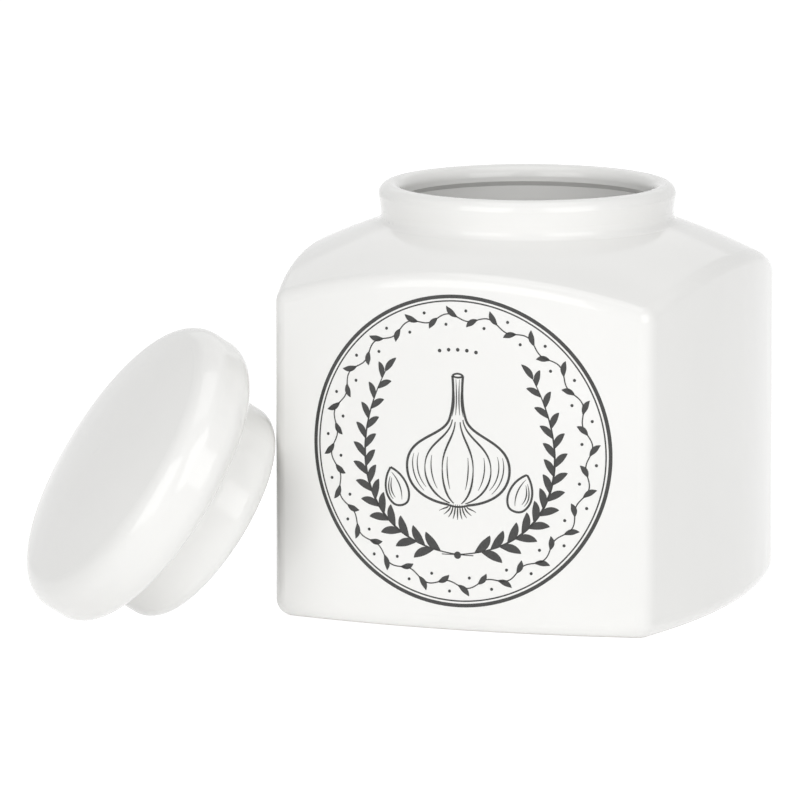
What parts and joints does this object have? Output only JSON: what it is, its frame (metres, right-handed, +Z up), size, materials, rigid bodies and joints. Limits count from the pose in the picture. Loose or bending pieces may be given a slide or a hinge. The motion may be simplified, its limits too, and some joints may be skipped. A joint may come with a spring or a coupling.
{
  "type": "garlic keeper",
  "caption": "Square glazed porcelain jar with bowed sides, domed shoulder and a round rolled rim, with a thick domed lid whose hollow plug drops into the mouth, for keeping garlic bulbs.",
  "frame": {"origin": "centre of the jar's foot, on the surface that the keeper stands on", "axes": "+Z up through the middle of the mouth, -Y out of the printed front, +X to the right seen from the front; the lid is off the jar and leans on its front left corner"},
  "size_m": [0.1856, 0.1626, 0.115],
  "materials": {
    "jar_glaze": "white porcelain under a clear gloss glaze, with a charcoal print on the front",
    "lid_glaze": "white porcelain under a clear gloss glaze"
  },
  "bodies": {
    "jar_body": {"jar": "jar_glaze"},
    "lid_body": {"lid": "lid_glaze"}
  },
  "joints": [
    {"name": "lid_lift", "type": "slide", "parent": "jar_body", "child": "lid_body", "axis": [0, 0, 1], "range_m": [0, 0.13]}
  ]
}
